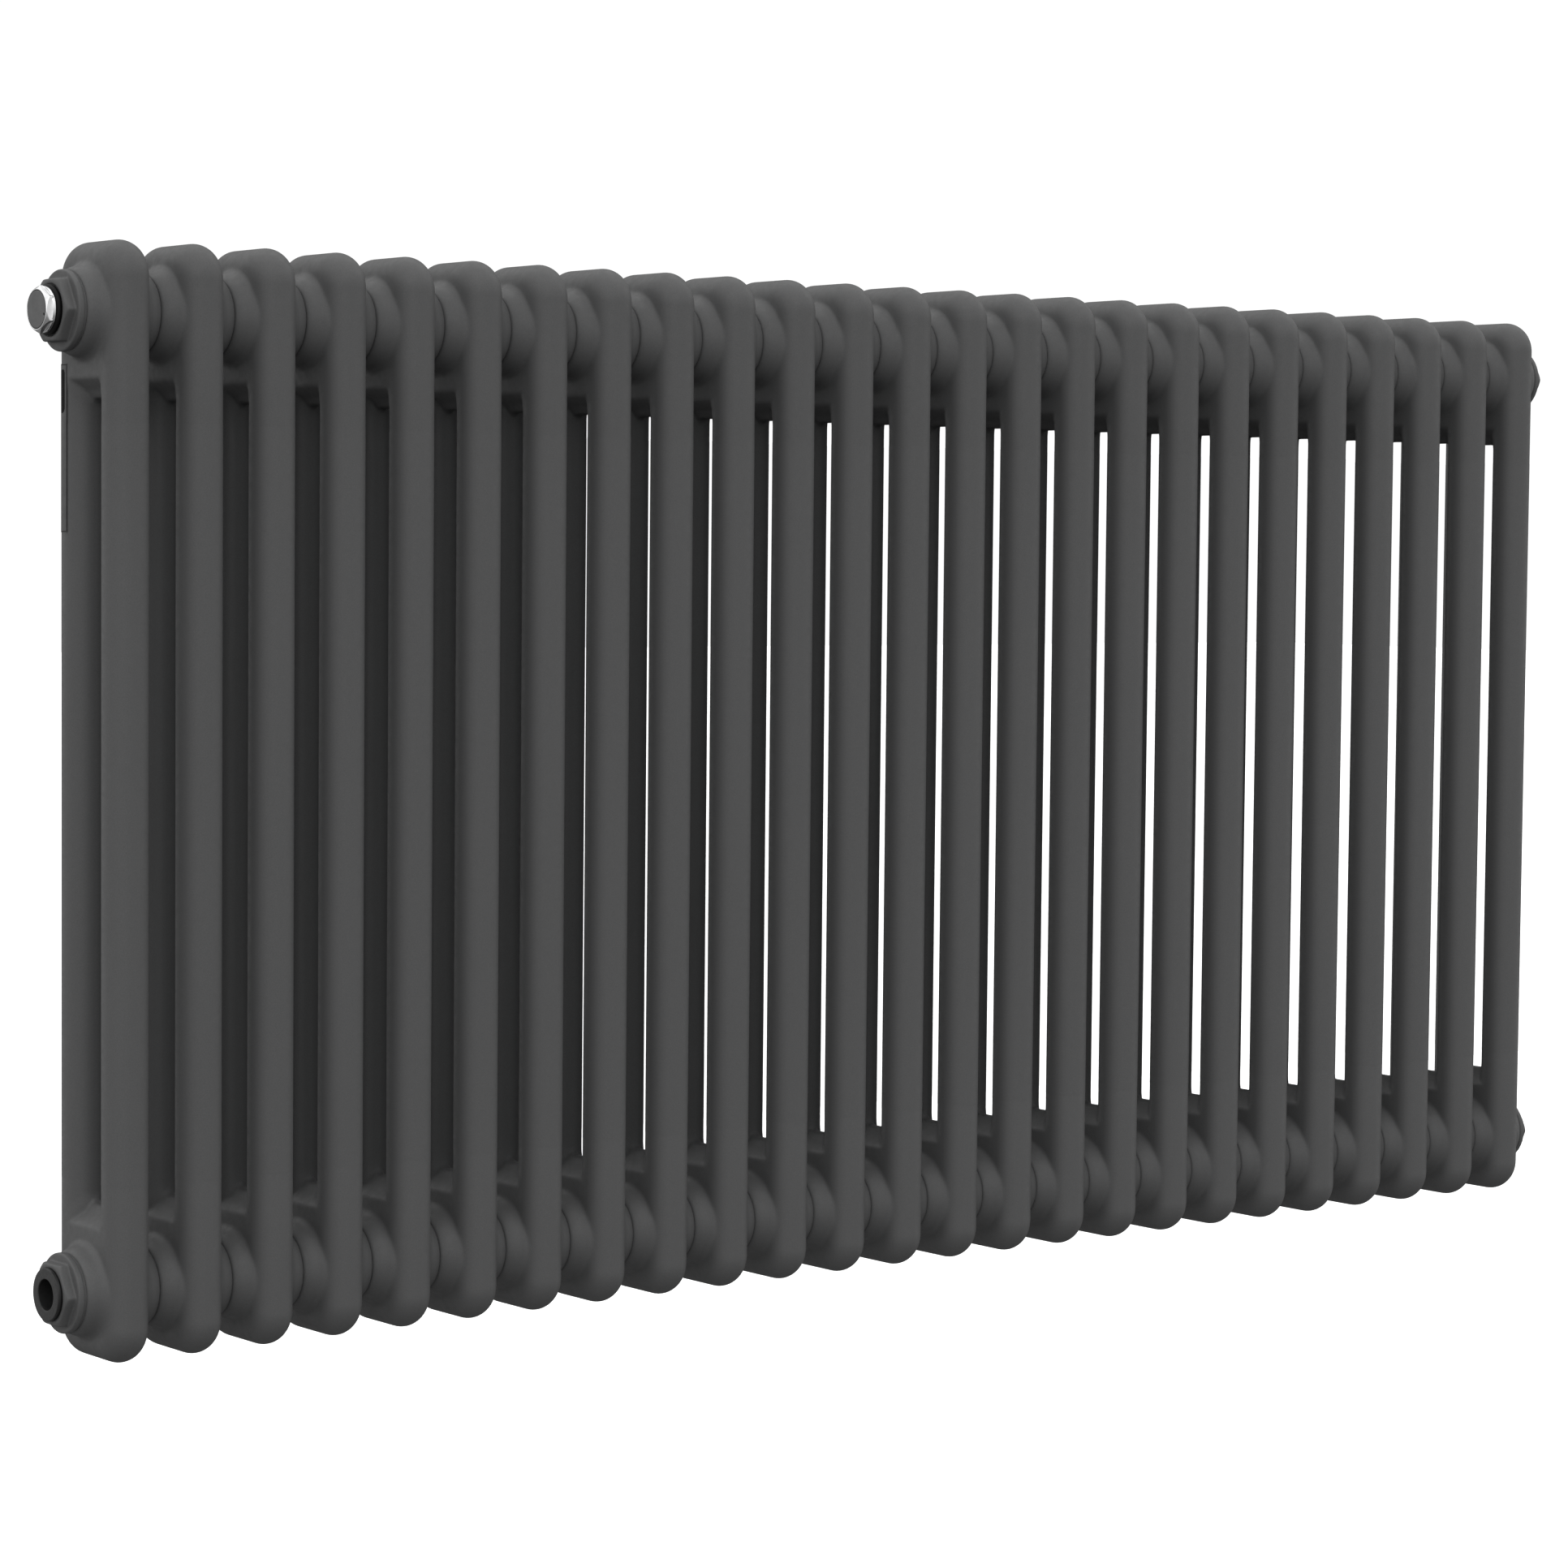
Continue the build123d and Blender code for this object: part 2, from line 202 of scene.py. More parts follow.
def sampled(grid, points):
    """Trilinear value of a grid at points given in cells."""
    top = np.array(grid.shape[:3]) - 2
    base = np.clip(np.floor(points).astype(int), 0, top)
    part = np.clip(points - base, 0, 1)
    total = 0
    for corner in np.ndindex(2, 2, 2):
        weight = np.prod(np.where(np.array(corner) == 1, part, 1 - part), axis=1)
        index = tuple((base + np.array(corner)).T)
        value = grid[index]
        total = total + (weight[:, None] * value if value.ndim == 2 else weight * value)
    return total


def net_faces(values):
    """Vertices, in cells, and quads of the surface net where the grid changes sign."""
    inside = values < 0
    shape = np.array(values.shape) - 1
    total = np.zeros((*shape, 3))
    count = np.zeros(shape)
    for axis in range(3):
        others = [a for a in range(3) if a != axis]
        low = [slice(None)] * 3
        high = [slice(None)] * 3
        low[axis], high[axis] = slice(None, -1), slice(1, None)
        a, b = values[tuple(low)], values[tuple(high)]
        crosses = inside[tuple(low)] != inside[tuple(high)]
        along = np.where(crosses, a / np.where(crosses, a - b, 1), 0)
        for du in (0, 1):
            for dv in (0, 1):
                view = [slice(None)] * 3
                view[others[0]] = slice(du, du + shape[others[0]])
                view[others[1]] = slice(dv, dv + shape[others[1]])
                hit = crosses[tuple(view)]
                total[..., axis] += along[tuple(view)] * hit
                total[..., others[0]] += du * hit
                total[..., others[1]] += dv * hit
                count += hit
    used = count > 0
    number = np.full(shape, -1)
    number[used] = np.arange(used.sum())
    points = np.argwhere(used) + total[used] / count[used][:, None]
    quads = []
    for axis in range(3):
        u, v = (axis + 1) % 3, (axis + 2) % 3
        low = [slice(1, -1)] * 3
        high = [slice(1, -1)] * 3
        low[axis], high[axis] = slice(None, -1), slice(1, None)
        start_in = inside[tuple(low)]
        edges = np.argwhere(start_in != inside[tuple(high)])
        leaves = start_in[tuple(edges.T)]
        edges = edges + 1
        edges[:, axis] -= 1
        ring = []
        for du, dv in ((-1, -1), (0, -1), (0, 0), (-1, 0)):
            cell = edges.copy()
            cell[:, u] += du
            cell[:, v] += dv
            ring.append(number[tuple(cell.T)])
        ring = np.stack(ring, axis=1)
        ring[~leaves] = ring[~leaves][:, ::-1]
        quads.append(ring)
    return points, np.concatenate(quads)


def meshed(field, low, high, step, soften, keep):
    """The shape where field(x, y, z) <= 0, as (vertices, faces, normals).

    The field is sampled every step and smoothed over soften, and a share keep of the faces stays.
    """
    low, high = np.array(low, float), np.array(high, float)
    cells = np.ceil((high - low) / step).astype(int)
    axes = [low[a] + step * np.arange(cells[a] + 1) for a in range(3)]
    values = field(*np.meshgrid(*axes, indexing="ij"))
    values = blurred(values, soften / step)
    slope = np.stack(np.gradient(values), axis=-1)
    points, quads = net_faces(values)
    points = settled(values, slope, points)
    raw = bpy.data.meshes.new("raw")
    raw.from_pydata(points.tolist(), [], quads.tolist())
    holder = bpy.data.objects.new("raw", raw)
    bpy.context.scene.collection.objects.link(holder)
    thinner = holder.modifiers.new("thinner", "DECIMATE")
    thinner.ratio = keep
    thin = bpy.data.meshes.new_from_object(
        holder.evaluated_get(bpy.context.evaluated_depsgraph_get())
    )
    points = np.empty(len(thin.vertices) * 3)
    thin.vertices.foreach_get("co", points)
    faces = [tuple(face.vertices) for face in thin.polygons]
    bpy.data.objects.remove(holder)
    bpy.data.meshes.remove(raw)
    bpy.data.meshes.remove(thin)
    points = settled(values, slope, points.reshape(-1, 3))
    normals = sampled(slope, points)
    normals /= np.linalg.norm(normals, axis=1)[:, None]
    return low + points * step, faces, normals


def settled(values, slope, points):
    """The points moved onto the zero level of the grid."""
    for _ in range(SETTLING_PASSES):
        gradient = sampled(slope, points)
        squared = np.maximum((gradient ** 2).sum(axis=1), LEAST_SLOPE_SQUARED)
        move = gradient * (sampled(values, points) / squared)[:, None]
        points = points - np.clip(move, -LONGEST_MOVE, LONGEST_MOVE)
    return points


# ---- Shapes as (vertices, faces, normals) ---------------------------------------------------
def mirrored(shape, axis, about=0.0):
    """The shape mirrored across the plane axis = about."""
    points, faces, normals = shape
    points, normals = points.copy(), normals.copy()
    points[:, axis] = 2 * about - points[:, axis]
    normals[:, axis] *= -1
    return points, [face[::-1] for face in faces], normals


def moved(shape, offset):
    """The shape moved by an offset."""
    points, faces, normals = shape
    return points + np.array(offset), faces, normals


def joined(shapes):
    """Several shapes as one."""
    points, faces, normals, start = [], [], [], 0
    for shape_points, shape_faces, shape_normals in shapes:
        points.append(shape_points)
        normals.append(shape_normals)
        faces += [tuple(corner + start for corner in face) for face in shape_faces]
        start += len(shape_points)
    return np.concatenate(points), faces, np.concatenate(normals)


def as_mesh(name, shape, material):
    """A Blender mesh of a shape given in millimetres, smooth by the shape's own normals."""
    points, faces, normals = shape
    mesh = bpy.data.meshes.new(name)
    mesh.from_pydata((points * MM).tolist(), [], faces)
    mesh.shade_smooth()
    mesh.normals_split_custom_set_from_vertices(normals.tolist())
    mesh.materials.append(material)
    return mesh


def as_piece(name, mesh, body, replaced, place=(0, 0, 0)):
    """A piece of the object that rides on a body and stands for CAD nodes."""
    piece = bpy.data.objects.new(name, mesh)
    piece.location = Vector(place)
    bpy.context.scene.collection.objects.link(piece)
    bpy.context.view_layer.update()
    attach(piece, body)
    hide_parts(*replaced)
    return piece


# ---- Fields: pieces of the section ----------------------------------------------------------
def rounded_box_2d(a, b, half_a, half_b, corner):
    """Signed distance to a rectangle with round corners."""
    qa = np.abs(a) - half_a + corner
    qb = np.abs(b) - half_b + corner
    outside = np.hypot(np.maximum(qa, 0), np.maximum(qb, 0))
    return outside + np.minimum(np.maximum(qa, qb), 0) - corner


def hub_field(x, radius, open_side):
    """Both bosses of a head, turned about the hub axis, and fuller on the side of a fitting."""
    reach = PITCH / 2
    out = np.abs(x)
    turn = np.clip((out - TUBE_R) / (reach - TUBE_R), 0, 1)
    rim = np.where(open_side * x > 0, HUB_END_R, HUB_SEAM_R)
    wall = rim + (HUB_BODY_R - rim) * (1 - turn ** 2)
    flare = np.clip(1 - (out - TUBE_R) / HUB_FLARE_RISE, 0, 1)
    wall = wall + HUB_FLARE * flare ** 2
    return np.maximum((radius - wall) * HUB_FIELD_SCALE, out - reach)


def head_field(x, y, depth, open_side):
    """A pressed head; its hub is open towards open_side (-1 or 1), or closed (0)."""
    half = WEB_TURN / 2
    slab = rounded_box_2d(y, depth - PRESSED_R - half, COLUMN_Y, half, CORNER_R - PRESSED_R)
    slab = np.hypot(x, np.maximum(slab, 0)) - PRESSED_R
    step = PRESSED_R - WEB_STEP * (depth - WEB_TURN)
    taper = WEB_EDGE_HALF + WEB_TAPER * (WEB_EDGE - depth)
    thickness = np.maximum(step, taper)
    slot_half = (HEAD_LENGTH - WEB_EDGE) / 2 + SLOT_CORNER_R
    slot = rounded_box_2d(
        y, depth - WEB_EDGE - slot_half, COLUMN_Y - PRESSED_R, slot_half, SLOT_CORNER_R
    )
    pinch = (np.abs(x) - thickness) * WEB_FIELD_SCALE
    web = np.maximum(np.maximum(slab, pinch), -slot)
    shoulder = LEG_SHOULDER + LEG_SHOULDER_RUN * np.maximum(COLUMN_Y - LEG_CROWN - np.abs(y), 0)
    swell = LEG_SWELL * np.clip(shoulder - depth, 0, LEG_SWELL_RUN)
    leg = np.hypot(x, np.abs(y) - COLUMN_Y) - PRESSED_R - swell * (np.abs(y) < COLUMN_Y)
    leg = np.maximum(leg, np.abs(x) - PRESSED_R)
    leg = np.maximum(np.maximum(leg, CORNER_R - depth), depth - HEAD_LENGTH - LEG_OVERLAP)
    radius = np.hypot(y, depth - HUB_DEPTH)
    head = np.minimum(np.minimum(web, leg), hub_field(x, radius, open_side))
    if open_side:
        pocket_end = PITCH / 2 - HUB_POCKET_DEPTH
        pocket = np.maximum(radius - HUB_POCKET_R, pocket_end - open_side * x)
        head = np.maximum(head, -pocket)
    return head


def head_shape(open_side=0):
    """Bottom head of a section, meshed; its depth axis is Z."""
    margin = 2
    reach = PITCH / 2 + margin
    return meshed(
        lambda x, y, z: head_field(x, y, z, open_side),
        (-reach, -HALF_DEPTH - margin, -margin),
        (reach, HALF_DEPTH + margin, HEAD_LENGTH + LEG_OVERLAP + margin),
        **HEAD_MESH,
    )


def tube_shape(y, segments=72):
    """A closed straight tube between the legs of the two heads."""
    ends = (HEAD_LENGTH - LEG_OVERLAP, HEIGHT - HEAD_LENGTH + LEG_OVERLAP)
    angles = np.linspace(0, 2 * math.pi, segments, endpoint=False)
    ring = np.stack([np.cos(angles), np.sin(angles), np.zeros(segments)], axis=1)
    points = [ring * TUBE_R + np.array((0, y, z)) for z in ends]
    around = range(segments)
    faces = [
        (i, (i + 1) % segments, segments + (i + 1) % segments, segments + i) for i in around
    ]
    faces.append(tuple(reversed(around)))
    faces.append(tuple(segments + i for i in around))
    return np.concatenate(points), faces, np.concatenate([ring, ring])


def section_shape(open_side=0):
    """One section about its own mid-plane: two heads and two tubes."""
    bottom = head_shape(open_side)
    return joined(
        [bottom, mirrored(bottom, 2, HEIGHT / 2), tube_shape(-COLUMN_Y), tube_shape(COLUMN_Y)]
    )


# ---- Fields: end fittings, with x outwards along the hub from the end hub's face ------------
def disc(x, radius, start, end, outer):
    """A plain turned disc."""
    return np.maximum(np.maximum(start - x, x - end), radius - outer)


def hexagon(x, y, z, start, end, flats, face_r, slope, points_up):
    """A hexagonal prism with its outer corners turned down, a corner or a flat at the top."""
    a, b = (y, z) if points_up else (z, y)
    sides = [
        np.abs(a * math.cos(angle) + b * math.sin(angle)) - flats / 2
        for angle in (0, math.pi / 3, -math.pi / 3)
    ]
    prism = np.maximum(np.maximum(*sides[:2]), sides[2])
    cone = (np.hypot(y, z) - face_r - (end - x) / slope) / math.hypot(1, 1 / slope)
    return np.maximum(np.maximum(prism, cone), np.maximum(start - x, x - end))


def fitting_field(x, y, z):
    """Flange, hexagon and shank of a bush or plug."""
    radius = np.hypot(y, z)
    flange = disc(x, radius, GASKET, FLANGE_END, FLANGE_R)
    shank = disc(x, radius, -BUSH_SHANK_LENGTH, GASKET + JOIN, BUSH_SHANK_R)
    head = hexagon(
        x, y, z, GASKET + JOIN, HEX_END, HEX_FLATS, HEX_FACE_R, HEX_CHAMFER_SLOPE, False
    )
    return np.minimum(np.minimum(flange, shank), head)


def bush_field(x, y, z):
    """A reducing bush with its bores."""
    radius = np.hypot(y, z)
    recess = disc(x, radius, HEX_END - SEAL_RECESS_DEPTH, HEX_END + CUT_PAST, SEAL_RECESS_R)
    lead_in = disc(x, radius, THREAD_END, HEX_END, LEAD_IN_R)
    thread = disc(x, radius, -BUSH_SHANK_LENGTH - CUT_PAST, HEX_END, THREAD_R)
    bore = np.minimum(np.minimum(recess, lead_in), thread)
    return np.maximum(fitting_field(x, y, z), -bore)


def cap_field(x, y, z):
    """A flanged transit cap with a deep recess and a nub on its floor."""
    radius = np.hypot(y, z)
    flange = disc(x, radius, HEX_END + CAP_SEAT_GAP, CAP_FACE, CAP_FLANGE_R)
    shank = disc(x, radius, CAP_SHANK_START, HEX_END + JOIN, CAP_SHANK_R)
    recess = disc(x, radius, CAP_FLOOR, CAP_FACE + CUT_PAST, CAP_BORE_R)
    nub = disc(x, radius, CAP_FLOOR - JOIN, CAP_NUB_END, CAP_NUB_R)
    return np.minimum(np.maximum(np.minimum(flange, shank), -recess), nub)


def vent_field(x, y, z):
    """The vent's body: shank, collar and hexagon, with a pocket and a bore for the screw."""
    radius = np.hypot(y, z)
    shank = disc(x, radius, VENT_SHANK_START, VENT_HEAD_START + JOIN, VENT_SHANK_R)
    collar = disc(x, radius, VENT_HEAD_START, VENT_COLLAR_END + JOIN / 2, VENT_COLLAR_R)
    head = hexagon(
        x, y, z, VENT_COLLAR_END, VENT_FACE, VENT_FLATS, VENT_FACE_R, VENT_CHAMFER_SLOPE, True
    )
    body = np.minimum(np.minimum(shank, collar), head)
    pocket_floor = VENT_FACE - KNOB_POCKET_DEPTH
    pocket = disc(x, radius, pocket_floor, VENT_FACE + CUT_PAST, KNOB_POCKET_R)
    bore = disc(x, radius, SCREW_BORE_START, VENT_FACE, SCREW_BORE_R)
    return np.maximum(body, -np.minimum(pocket, bore))


def screw_field(x, y, z):
    """The bleed screw: face with its outlet hole, and stem."""
    radius = np.hypot(y, z)
    face = disc(x, radius, VENT_FACE - KNOB_THICKNESS, VENT_FACE, KNOB_R)
    stem = disc(x, radius, SCREW_START, VENT_FACE - KNOB_THICKNESS + JOIN, SCREW_R)
    hole_y = OUTLET_OFFSET * math.cos(OUTLET_ANGLE)
    hole_z = OUTLET_OFFSET * math.sin(OUTLET_ANGLE)
    hole = np.hypot(y - hole_y, z - hole_z) - OUTLET_R
    return np.maximum(np.minimum(face, stem), -hole)


def ring_field(x, y, z):
    """The vent's O-ring."""
    centre = HEX_END - SEAL_RECESS_DEPTH + O_RING_CORD_R
    return np.hypot(x - centre, np.hypot(y, z) - O_RING_R) - O_RING_CORD_R


def gasket_field(x, y, z):
    """A bush's flat gasket, a ring round its shank."""
    radius = np.hypot(y, z)
    whole = disc(x, radius, -GASKET_OVERLAP, GASKET + GASKET_OVERLAP, GASKET_R)
    return np.maximum(whole, GASKET_BORE_R - radius)


def fitting_shape(field, start, end, outer, step, soften, keep):
    """A fitting meshed about the hub axis, with x outwards."""
    margin = 2 * step + 3 * soften
    return meshed(
        field,
        (start - margin, -outer - margin, -outer - margin),
        (end + margin, outer + margin, outer + margin),
        step, soften, keep,
    )


def placed_end(shape, side, z):
    """A fitting moved from its own frame to the left (-1) or right (+1) end hub at height z."""
    if side < 0:
        shape = mirrored(shape, 0)
    return moved(shape, (side * END_HUB_X, 0, z))


# ---- Materials; their lengths are in metres -------------------------------------------------
NOISE_LOW, NOISE_HIGH = 0.3, 0.7    # the part of a noise's range that is used


def new_material(name, colour, roughness, metallic=0.0, **sockets):
    """A principled material with plain values on its shader's sockets."""
    made = bpy.data.materials.new(name)
    made.use_nodes = True
    shader = made.node_tree.nodes["Principled BSDF"]
    shader.inputs["Base Color"].default_value = (*colour, 1)
    shader.inputs["Roughness"].default_value = roughness
    shader.inputs["Metallic"].default_value = metallic
    for socket, value in sockets.items():
        shader.inputs[socket.replace("_", " ")].default_value = value
    return made


def place_socket(material, moving, stretch=(1, 1, 1)):
    """Coordinates in metres that stay on the piece: its own where it moves, else the frame's."""
    nodes, links = material.node_tree.nodes, material.node_tree.links
    mapping = nodes.new("ShaderNodeMapping")
    mapping.inputs["Scale"].default_value = stretch
    if moving:
        source = nodes.new("ShaderNodeTexCoord").outputs["Object"]
    else:
        source = nodes.new("ShaderNodeNewGeometry").outputs["Position"]
    links.new(source, mapping.inputs["Vector"])
    return mapping.outputs["Vector"]


def noise(material, place, size, detail=2.0, roughness=0.5):
    """Noise whose features are about size metres wide."""
    node = material.node_tree.nodes.new("ShaderNodeTexNoise")
    node.inputs["Scale"].default_value = 1 / size
    node.inputs["Detail"].default_value = detail
    node.inputs["Roughness"].default_value = roughness
    material.node_tree.links.new(place, node.inputs["Vector"])
    return node.outputs["Fac"]


def vary_colour(material, factor, stops):
    """Base colour ramped by a factor through (position, colour) stops."""
    ramp = material.node_tree.nodes.new("ShaderNodeValToRGB")
    elements = ramp.color_ramp.elements
    while len(elements) < len(stops):
        elements.new(0.5)
    for element, (position, colour) in zip(elements, stops):
        element.position = position
        element.color = (*colour, 1)
    material.node_tree.links.new(factor, ramp.inputs["Fac"])
    shader = material.node_tree.nodes["Principled BSDF"]
    material.node_tree.links.new(ramp.outputs["Color"], shader.inputs["Base Color"])


def vary_roughness(material, factor, low, high):
    """Roughness from low to high over the middle of a factor's range."""
    spread = material.node_tree.nodes.new("ShaderNodeMapRange")
    spread.inputs["From Min"].default_value = NOISE_LOW
    spread.inputs["From Max"].default_value = NOISE_HIGH
    spread.inputs["To Min"].default_value = low
    spread.inputs["To Max"].default_value = high
    material.node_tree.links.new(factor, spread.inputs["Value"])
    shader = material.node_tree.nodes["Principled BSDF"]
    material.node_tree.links.new(spread.outputs["Result"], shader.inputs["Roughness"])


def add_bump(material, height, depth, strength):
    """Relief of a given depth in metres, over any relief the material already has."""
    nodes, links = material.node_tree.nodes, material.node_tree.links
    bump = nodes.new("ShaderNodeBump")
    bump.inputs["Strength"].default_value = strength
    bump.inputs["Distance"].default_value = depth
    links.new(height, bump.inputs["Height"])
    socket = nodes["Principled BSDF"].inputs["Normal"]
    if socket.links:
        links.new(socket.links[0].from_socket, bump.inputs["Normal"])
    links.new(bump.outputs["Normal"], socket)


def greys(*values):
    """Neutral colours a little towards the cool side."""
    return [(value * 0.995, value, value * 1.005) for value in values]


def powder_coat_material():
    """Satin anthracite powder coat: fine speckle, uneven gloss, orange peel and grain."""
    made = new_material("powder_coat", greys(COAT)[0], 0.55, Specular_IOR_Level=0.22)
    place = place_socket(made, False)
    dark, mid, light = greys(COAT * 0.86, COAT, COAT * 1.14)
    speckle = noise(made, place, 0.0007, detail=5, roughness=0.75)
    vary_colour(made, speckle, [(NOISE_LOW, dark), (0.5, mid), (NOISE_HIGH, light)])
    vary_roughness(made, noise(made, place, 0.004, 3), 0.48, 0.62)
    add_bump(made, noise(made, place, 0.0016, 2), 0.00006, 0.5)
    add_bump(made, noise(made, place, 0.0003, 1), 0.00001, 0.5)
    return made


def chrome_material():
    """Bright nickel-chrome plate: faint marks along one direction, and a slight waviness."""
    made = new_material("chrome_plate", greys(0.78)[0], 0.08, 1.0)
    place = place_socket(made, False)
    dark, light = greys(0.52, 0.66)
    vary_colour(made, noise(made, place, 0.004, 3), [(NOISE_LOW, dark), (NOISE_HIGH, light)])
    vary_roughness(made, noise(made, place, 0.002, detail=4, roughness=0.7), 0.05, 0.13)
    lines = place_socket(made, False, (1, 0.15, 1))
    add_bump(made, noise(made, lines, 0.0002, 2), 0.000004, 0.4)
    add_bump(made, noise(made, place, 0.0025, 1), 0.00006, 0.35)
    return made


def moulded_material(name, grey, rough, grain, depth, moving=False, gloss=0.3):
    """Moulded rubber, plastic, fibre or film: roughness over a range, and a fine grain."""
    made = new_material(name, greys(grey)[0], sum(rough) / 2, Specular_IOR_Level=gloss)
    place = place_socket(made, moving)
    cloud = noise(made, place, 0.006, 3)
    dark, light = greys(grey * 0.85, grey * 1.15)
    vary_colour(made, cloud, [(NOISE_LOW, dark), (NOISE_HIGH, light)])
    vary_roughness(made, noise(made, place, 0.0015, 3), *rough)
    add_bump(made, noise(made, place, grain, 2), depth, 0.5)
    return made


def steel_material():
    """Bare machined steel inside the hubs."""
    made = new_material("bare_steel", greys(0.42)[0], 0.35, 1.0)
    place = place_socket(made, False, (12, 1, 1))
    dark, light = greys(0.34, 0.5)
    vary_colour(made, noise(made, place, 0.004, 3), [(NOISE_LOW, dark), (NOISE_HIGH, light)])
    vary_roughness(made, noise(made, place, 0.003, 3), 0.28, 0.45)
    add_bump(made, noise(made, place, 0.003, 2), 0.00001, 0.5)
    return made


powder_coat = powder_coat_material()
chrome = chrome_material()
rubber = moulded_material(
    "seal_rubber", grey=0.004, rough=(0.45, 0.6), grain=0.0004, depth=0.00001, gloss=0.1
)
fibre = moulded_material(
    "gasket_fibre", grey=0.050, rough=(0.75, 0.9), grain=0.0005, depth=0.00006
)
plastic = moulded_material(
    "black_plastic", grey=0.009, rough=(0.4, 0.55), grain=0.0005, depth=0.00001, moving=True
)
grey_face = moulded_material(
    "grey_face", grey=0.062, rough=(0.45, 0.55), grain=0.0006, depth=0.00001, moving=True
)
film = moulded_material(
    "label_film", grey=0.050, rough=(0.4, 0.5), grain=0.002, depth=0.00002, gloss=0.15
)
# Dark film: the printed panel, and a dark line near the label's rim.
dark_film = moulded_material(
    "label_dark_film", grey=0.003, rough=(0.5, 0.6), grain=0.002, depth=0.00001, gloss=0.04
)
steel = steel_material()


# ---- The object -----------------------------------------------------------------------------
middle_section = as_mesh("section_middle", section_shape(), powder_coat)
open_section = section_shape(open_side=-1)
left_section = as_mesh("section_left", open_section, powder_coat)
right_section = as_mesh("section_right", mirrored(open_section, 0), powder_coat)
for node in SECTIONS:
    mesh = {SECTIONS[0]: left_section, SECTIONS[-1]: right_section}.get(node, middle_section)
    low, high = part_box(node)
    if node == SECTIONS[0]:
        centre_x = high.x - PITCH / 2 * MM
    else:
        centre_x = low.x + PITCH / 2 * MM
    as_piece(f"painted_{node}", mesh, "radiator", [node], (centre_x, 0, 0))

bush = fitting_shape(bush_field, -BUSH_SHANK_LENGTH, HEX_END, FLANGE_R, **BUSH_MESH)
plug = fitting_shape(fitting_field, -BUSH_SHANK_LENGTH, HEX_END, FLANGE_R, **BUSH_MESH)
cap = fitting_shape(cap_field, CAP_SHANK_START, CAP_FACE, CAP_FLANGE_R, **CAP_MESH)
for node, shape, side, z in (
    ("vent_bush", bush, -1, HUB_TOP_Z),
    ("blanking_plug", plug, 1, HUB_TOP_Z),
    ("inlet_bush_left", bush, -1, HUB_DEPTH),
    ("inlet_bush_right", bush, 1, HUB_DEPTH),
):
    mesh = as_mesh(node, placed_end(shape, side, z), powder_coat)
    as_piece(f"painted_{node}", mesh, "radiator", [node])
for node, body, side in (
    ("transit_cap_left", "cap_left", -1),
    ("transit_cap_right", "cap_right", 1),
):
    mesh = as_mesh(node, placed_end(cap, side, HUB_DEPTH), plastic)
    as_piece(f"moulded_{node}", mesh, body, [node])

vent_corner_r = VENT_FLATS / math.sqrt(3)
vent = fitting_shape(vent_field, VENT_SHANK_START, VENT_FACE, vent_corner_r, **VENT_MESH)
screw = fitting_shape(screw_field, SCREW_START, VENT_FACE, KNOB_R, **SCREW_MESH)
seal = fitting_shape(
    ring_field, HEX_END - 2, HEX_END + 3, O_RING_R + O_RING_CORD_R, **SEAL_MESH
)
for name, node, shape, body, slot, material in (
    ("plated_vent_body", "vent_body", vent, "radiator", "chrome_plate", chrome),
    ("moulded_vent_o_ring", "vent_o_ring", seal, "radiator", "seal_rubber", rubber),
    ("moulded_bleed_screw", "bleed_screw", screw, "bleed_screw", "grey_face", grey_face),
):
    mesh = as_mesh(node, placed_end(shape, -1, HUB_TOP_Z), material)
    as_piece(name, mesh, body, [node])

gasket = fitting_shape(gasket_field, 0, GASKET, GASKET_R, **GASKET_MESH)
gaskets = [placed_end(gasket, side, z) for side in (-1, 1) for z in (HUB_TOP_Z, HUB_DEPTH)]
as_piece(
    "fibre_bush_gaskets", as_mesh("bush_gaskets", joined(gaskets), fibre),
    "radiator", ["bush_gaskets"],
)

for node, material in (("hub_sockets", steel), ("bleed_seat_pad", rubber)):
    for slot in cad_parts[node].material_slots:
        slot.material = material


LEAST_SPACING = 0.05       # grid lines nearer than this to the one before are left out


def grid_marks(fixed, spans, spacing):
    """Sorted grid lines: fixed ones, and evenly spaced ones over each (start, end) span."""
    marks = set(fixed)
    for start, end in spans:
        marks |= set(np.linspace(start, end, int(round((end - start) / spacing)) + 1))
    marks = sorted(marks)
    return [marks[0]] + [b for a, b in zip(marks, marks[1:]) if b - a > LEAST_SPACING]


